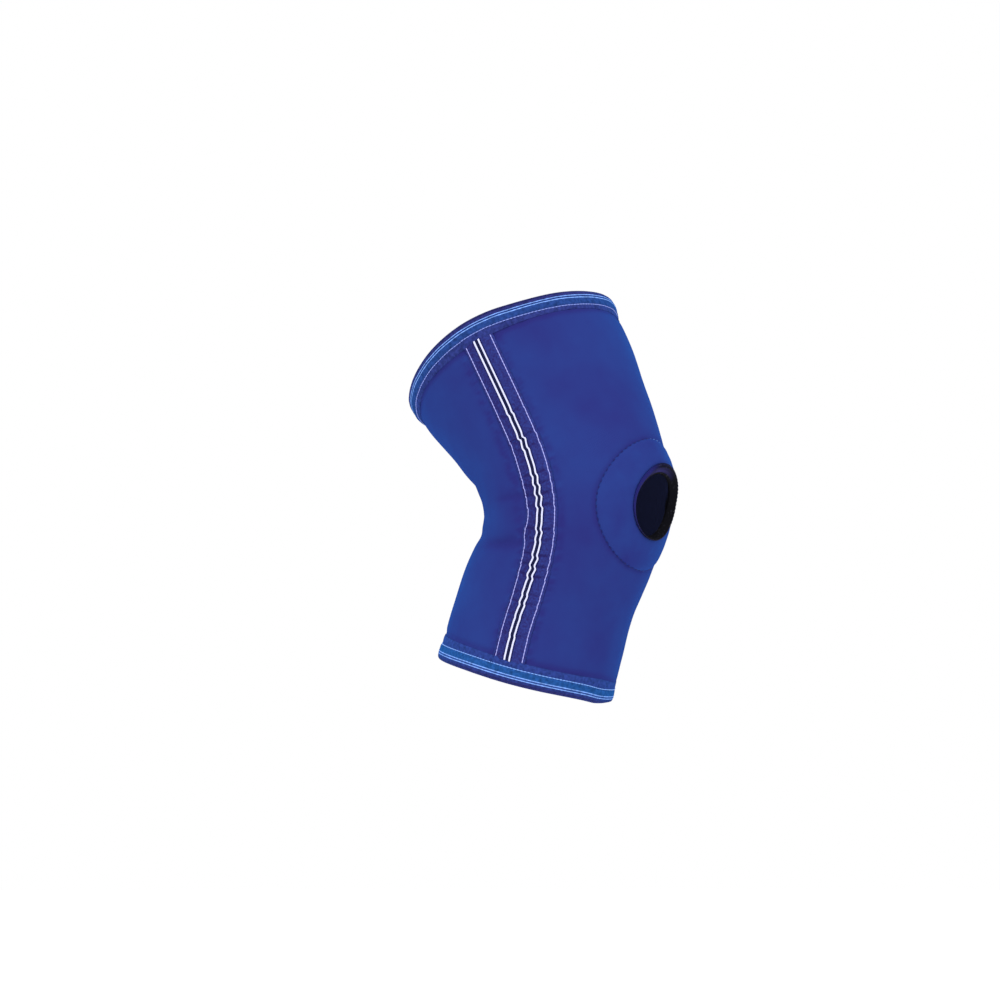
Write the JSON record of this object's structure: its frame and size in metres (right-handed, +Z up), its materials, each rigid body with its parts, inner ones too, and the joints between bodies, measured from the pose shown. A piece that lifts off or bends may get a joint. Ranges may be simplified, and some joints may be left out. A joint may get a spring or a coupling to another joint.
{
  "type": "knee sleeve",
  "caption": "Pull-on padded cloth knee sleeve, bent as worn, with a padded round opening over the kneecap, taped rims and side strips.",
  "frame": {"origin": "on the axis of the limb at the middle of the knee, where the sleeve is held, close behind the round opening", "axes": "+X forward, the way the round opening faces; +Z up along the leg; +Y to the medial side, away from the side that the picture shows"},
  "size_m": [0.187, 0.1448, 0.2742],
  "materials": {
    "jersey": "matt knitted nylon jersey on neoprene foam",
    "pad_jersey": "matt knitted nylon jersey on foam padding",
    "rim_tape": "woven elastic tape with blue and pale stripes",
    "black_tape": "satin black binding tape",
    "ribbon": "white ribs with a near-black middle"
  },
  "bodies": {
    "root": {"sleeve_body": "jersey", "knee_ring_pad": "pad_jersey", "opening_binding": "black_tape", "top_binding": "rim_tape", "bottom_binding": "rim_tape", "lateral_stay_strip": "jersey", "medial_stay_strip": "jersey", "lateral_stripe_ribbon": "ribbon", "medial_stripe_ribbon": "ribbon"}
  },
  "joints": []
}
